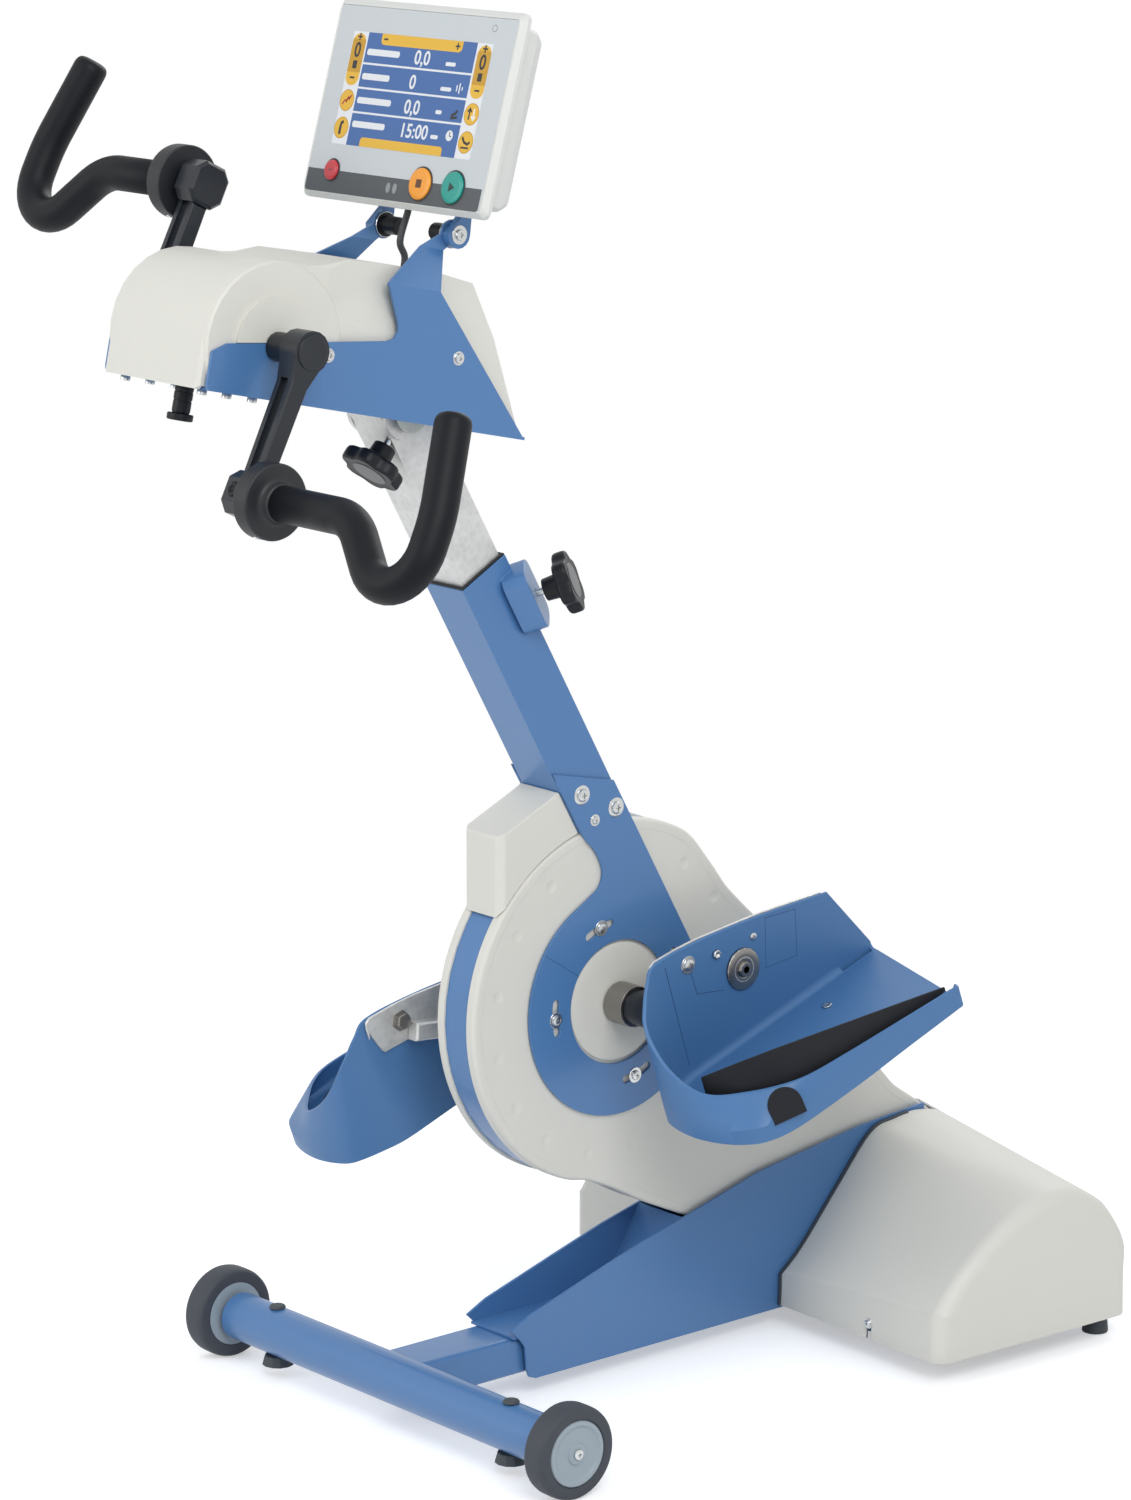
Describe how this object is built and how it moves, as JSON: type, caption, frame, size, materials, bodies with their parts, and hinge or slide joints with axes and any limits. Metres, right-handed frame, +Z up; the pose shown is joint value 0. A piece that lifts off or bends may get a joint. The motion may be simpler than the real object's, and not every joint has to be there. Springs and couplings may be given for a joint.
{
  "type": "active passive trainer",
  "caption": "Motorised leg and arm exerciser: wheeled base with a drum drive, foot shells on cranks, a sliding mast, and a tilting head with arm handles and a display.",
  "frame": {"origin": "centre of the footprint on the floor", "axes": "+X to the right of the user, who sits in front of the machine; +Y away from the user; +Z up"},
  "size_m": [0.8056, 1.0616, 1.4162],
  "materials": {
    "blue_paint": "satin powder coat",
    "blue_moulding": "satin",
    "cover": "fine grained, satin",
    "black_moulding": "fine grained",
    "black_metal": "satin black coat",
    "rubber": "matt",
    "tyre": "matt grey-black",
    "wheel_grey": "satin",
    "steel": "turned",
    "zinc": "galvanised",
    "casting": "as cast",
    "strap": "woven, matt",
    "screen": "printed overlay over a screen",
    "orange_button": "glossy",
    "green_button": "glossy",
    "red_button": "glossy"
  },
  "bodies": {
    "base": {"front_cross_tube": "blue_paint", "right_front_buffer": "rubber", "left_front_buffer": "rubber", "main_beam": "blue_paint", "rear_cross_tube": "blue_paint", "channel_frame": "blue_paint", "base_hood": "cover", "mains_inlet": "black_moulding", "drum_band": "blue_paint", "drive_belt": "rubber", "leg_motor": "casting", "right_rear_foot": "rubber", "left_rear_foot": "rubber", "right_housing_shell": "cover", "left_housing_shell": "cover", "right_bearing": "steel", "left_bearing": "steel", "right_side_plate": "blue_paint", "left_side_plate": "blue_paint", "nose_cap": "cover", "outer_column": "blue_paint", "column_guide": "black_moulding"},
    "right_wheel": {"right_tyre": "tyre", "right_wheel_hub": "wheel_grey"},
    "left_wheel": {"left_tyre": "tyre", "left_wheel_hub": "wheel_grey"},
    "cranks": {"crank_shaft": "steel", "drive_pulley": "casting", "right_leg_crank": "black_metal", "left_leg_crank": "black_metal", "right_pedal_pin": "steel", "left_pedal_pin": "steel"},
    "motor_rotor": {"motor_pulley": "casting"},
    "right_pedal": {"right_foot_shell": "blue_moulding", "right_pedal_carrier": "zinc", "right_foot_strap": "strap"},
    "left_pedal": {"left_foot_shell": "blue_moulding", "left_pedal_carrier": "zinc", "left_foot_strap": "strap"},
    "height_clamp": {"height_knob": "black_moulding"},
    "mast": {"inner_column": "zinc"},
    "tilt_clamp": {"tilt_knob": "black_moulding"},
    "head": {"head_frame": "blue_paint", "head_hood": "cover", "arm_motor": "casting", "display_cable": "rubber"},
    "plunger": {"index_plunger": "black_moulding"},
    "arm_cranks": {"arm_shaft": "black_metal", "right_arm_crank": "black_metal", "left_arm_crank": "black_metal"},
    "right_grip": {"right_handle": "black_moulding"},
    "left_grip": {"left_handle": "black_moulding"},
    "display": {"display_case": "cover", "display_screen": "screen", "display_bracket": "blue_paint"},
    "right_tilt_nut": {"right_display_knob": "black_moulding"},
    "left_tilt_nut": {"left_display_knob": "black_moulding"},
    "stop": {"stop_button": "orange_button"},
    "start": {"start_button": "green_button"},
    "standby": {"standby_button": "red_button"}
  },
  "joints": [
    {"name": "right_wheel_spin", "type": "hinge", "parent": "base", "child": "right_wheel", "pos_m": [0.274, -0.23735, 0.0475], "axis": [1, 0, 0], "continuous": true},
    {"name": "left_wheel_spin", "type": "hinge", "parent": "base", "child": "left_wheel", "pos_m": [-0.274, -0.23735, 0.0475], "axis": [1, 0, 0], "continuous": true},
    {"name": "crank_spin", "type": "hinge", "parent": "base", "child": "cranks", "pos_m": [0, 0.03715, 0.3977], "axis": [1, 0, 0], "continuous": true},
    {"name": "motor_spin", "type": "hinge", "parent": "base", "child": "motor_rotor", "pos_m": [0, 0.24915, 0.2857], "axis": [1, 0, 0], "continuous": true},
    {"name": "right_pedal_pivot", "type": "hinge", "parent": "cranks", "child": "right_pedal", "pos_m": [0.104, 0.13914, 0.43005], "axis": [1, 0, 0], "range_deg": [-40, 40]},
    {"name": "left_pedal_pivot", "type": "hinge", "parent": "cranks", "child": "left_pedal", "pos_m": [-0.104, -0.06484, 0.36535], "axis": [1, 0, 0], "range_deg": [-40, 40]},
    {"name": "height_knob_turn", "type": "hinge", "parent": "base", "child": "height_clamp", "pos_m": [0.0297, -0.0841, 0.8335], "axis": [0.7071, 0.616, 0.3471], "range_deg": [0, 360]},
    {"name": "mast_slide", "type": "slide", "parent": "base", "child": "mast", "axis": [0, -0.4909, 0.8712], "range_m": [-0.1, 0.06]},
    {"name": "tilt_knob_turn", "type": "hinge", "parent": "mast", "child": "tilt_clamp", "pos_m": [0.02, -0.27217, 0.97558], "axis": [0, 0.6414, 0.7672], "range_deg": [-360, 0]},
    {"name": "head_tilt", "type": "hinge", "parent": "mast", "child": "head", "pos_m": [0, -0.23197, 1.03278], "axis": [1, 0, 0], "range_deg": [-10, 15]},
    {"name": "plunger_pull", "type": "slide", "parent": "head", "child": "plunger", "axis": [0, -0.2198, -0.9755], "range_m": [0, 0.008], "stiffness_N_per_m": 500, "springref_m": -0.004},
    {"name": "arm_crank_spin", "type": "hinge", "parent": "head", "child": "arm_cranks", "pos_m": [0, -0.42691, 1.11976], "axis": [1, 0, 0], "continuous": true},
    {"name": "right_handle_spin", "type": "hinge", "parent": "arm_cranks", "child": "right_grip", "pos_m": [0.15, -0.4909, 0.99087], "axis": [1, 0, 0], "continuous": true},
    {"name": "left_handle_spin", "type": "hinge", "parent": "arm_cranks", "child": "left_grip", "pos_m": [-0.15, -0.36293, 1.24866], "axis": [1, 0, 0], "continuous": true},
    {"name": "display_tilt", "type": "hinge", "parent": "head", "child": "display", "pos_m": [0, -0.19418, 1.20365], "axis": [1, 0, 0], "range_deg": [-20, 30], "deforming": ["display_cable"]},
    {"name": "right_tilt_nut_turn", "type": "hinge", "parent": "display", "child": "right_tilt_nut", "pos_m": [0.038, -0.19418, 1.20365], "axis": [1, 0, 0], "range_deg": [0, 360]},
    {"name": "left_tilt_nut_turn", "type": "hinge", "parent": "display", "child": "left_tilt_nut", "pos_m": [-0.038, -0.19418, 1.20365], "axis": [1, 0, 0], "range_deg": [-360, 0]},
    {"name": "stop_press", "type": "slide", "parent": "display", "child": "stop", "axis": [0, 0.9617, -0.274], "range_m": [0, 0.0015], "stiffness_N_per_m": 400, "springref_m": -0.002},
    {"name": "start_press", "type": "slide", "parent": "display", "child": "start", "axis": [0, 0.9617, -0.274], "range_m": [0, 0.0015], "stiffness_N_per_m": 400, "springref_m": -0.002},
    {"name": "standby_press", "type": "slide", "parent": "display", "child": "standby", "axis": [0, 0.9617, -0.274], "range_m": [0, 0.0015], "stiffness_N_per_m": 400, "springref_m": -0.002}
  ],
  "couplings": [
    {"joint": "motor_spin", "follows": "crank_spin", "ratio": 7}
  ]
}
